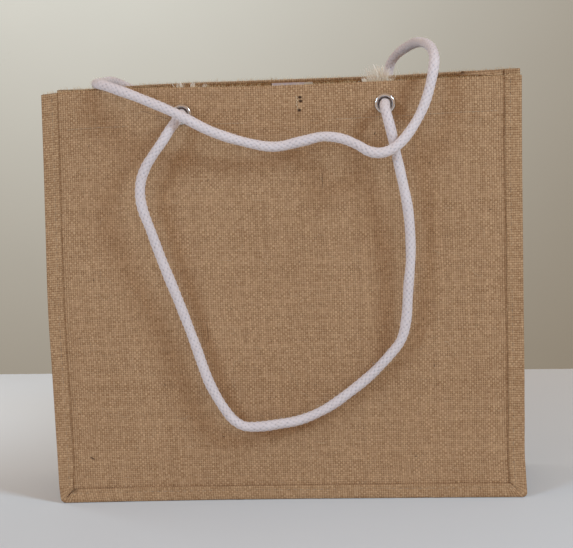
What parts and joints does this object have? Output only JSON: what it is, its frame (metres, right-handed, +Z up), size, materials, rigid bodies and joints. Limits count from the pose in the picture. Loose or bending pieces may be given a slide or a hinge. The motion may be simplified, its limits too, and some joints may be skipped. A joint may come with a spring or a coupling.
{
  "type": "jute tote bag",
  "caption": "Rectangular open-topped jute tote bag with bound edges, a folded gusset, metal eyelets and white rope handles.",
  "frame": {"origin": "centre of the bag's footprint, on the surface that it stands on", "axes": "+X to the right along the width, -Y out of the front panel, +Z up"},
  "size_m": [0.4052, 0.1341, 0.3869],
  "materials": {
    "jute": "coarse plain-woven natural jute",
    "binding": "plain-woven natural jute, folded and stitched",
    "label": "plain white woven tape",
    "eyelet": "bright nickel-plated steel",
    "rope": "soft braided white cotton"
  },
  "bodies": {
    "root": {"front_panel": "jute", "back_panel": "jute", "gusset": "jute", "front_binding": "binding", "back_binding": "binding", "label": "label", "eyelet_front_left": "eyelet", "eyelet_front_right": "eyelet", "eyelet_back_left": "eyelet", "eyelet_back_right": "eyelet", "washer_front_left": "eyelet", "washer_front_right": "eyelet", "washer_back_left": "eyelet", "washer_back_right": "eyelet", "knot_front_left": "rope", "knot_front_right": "rope", "knot_back_left": "rope", "knot_back_right": "rope", "handle_front": "rope", "handle_back": "rope"}
  },
  "joints": []
}
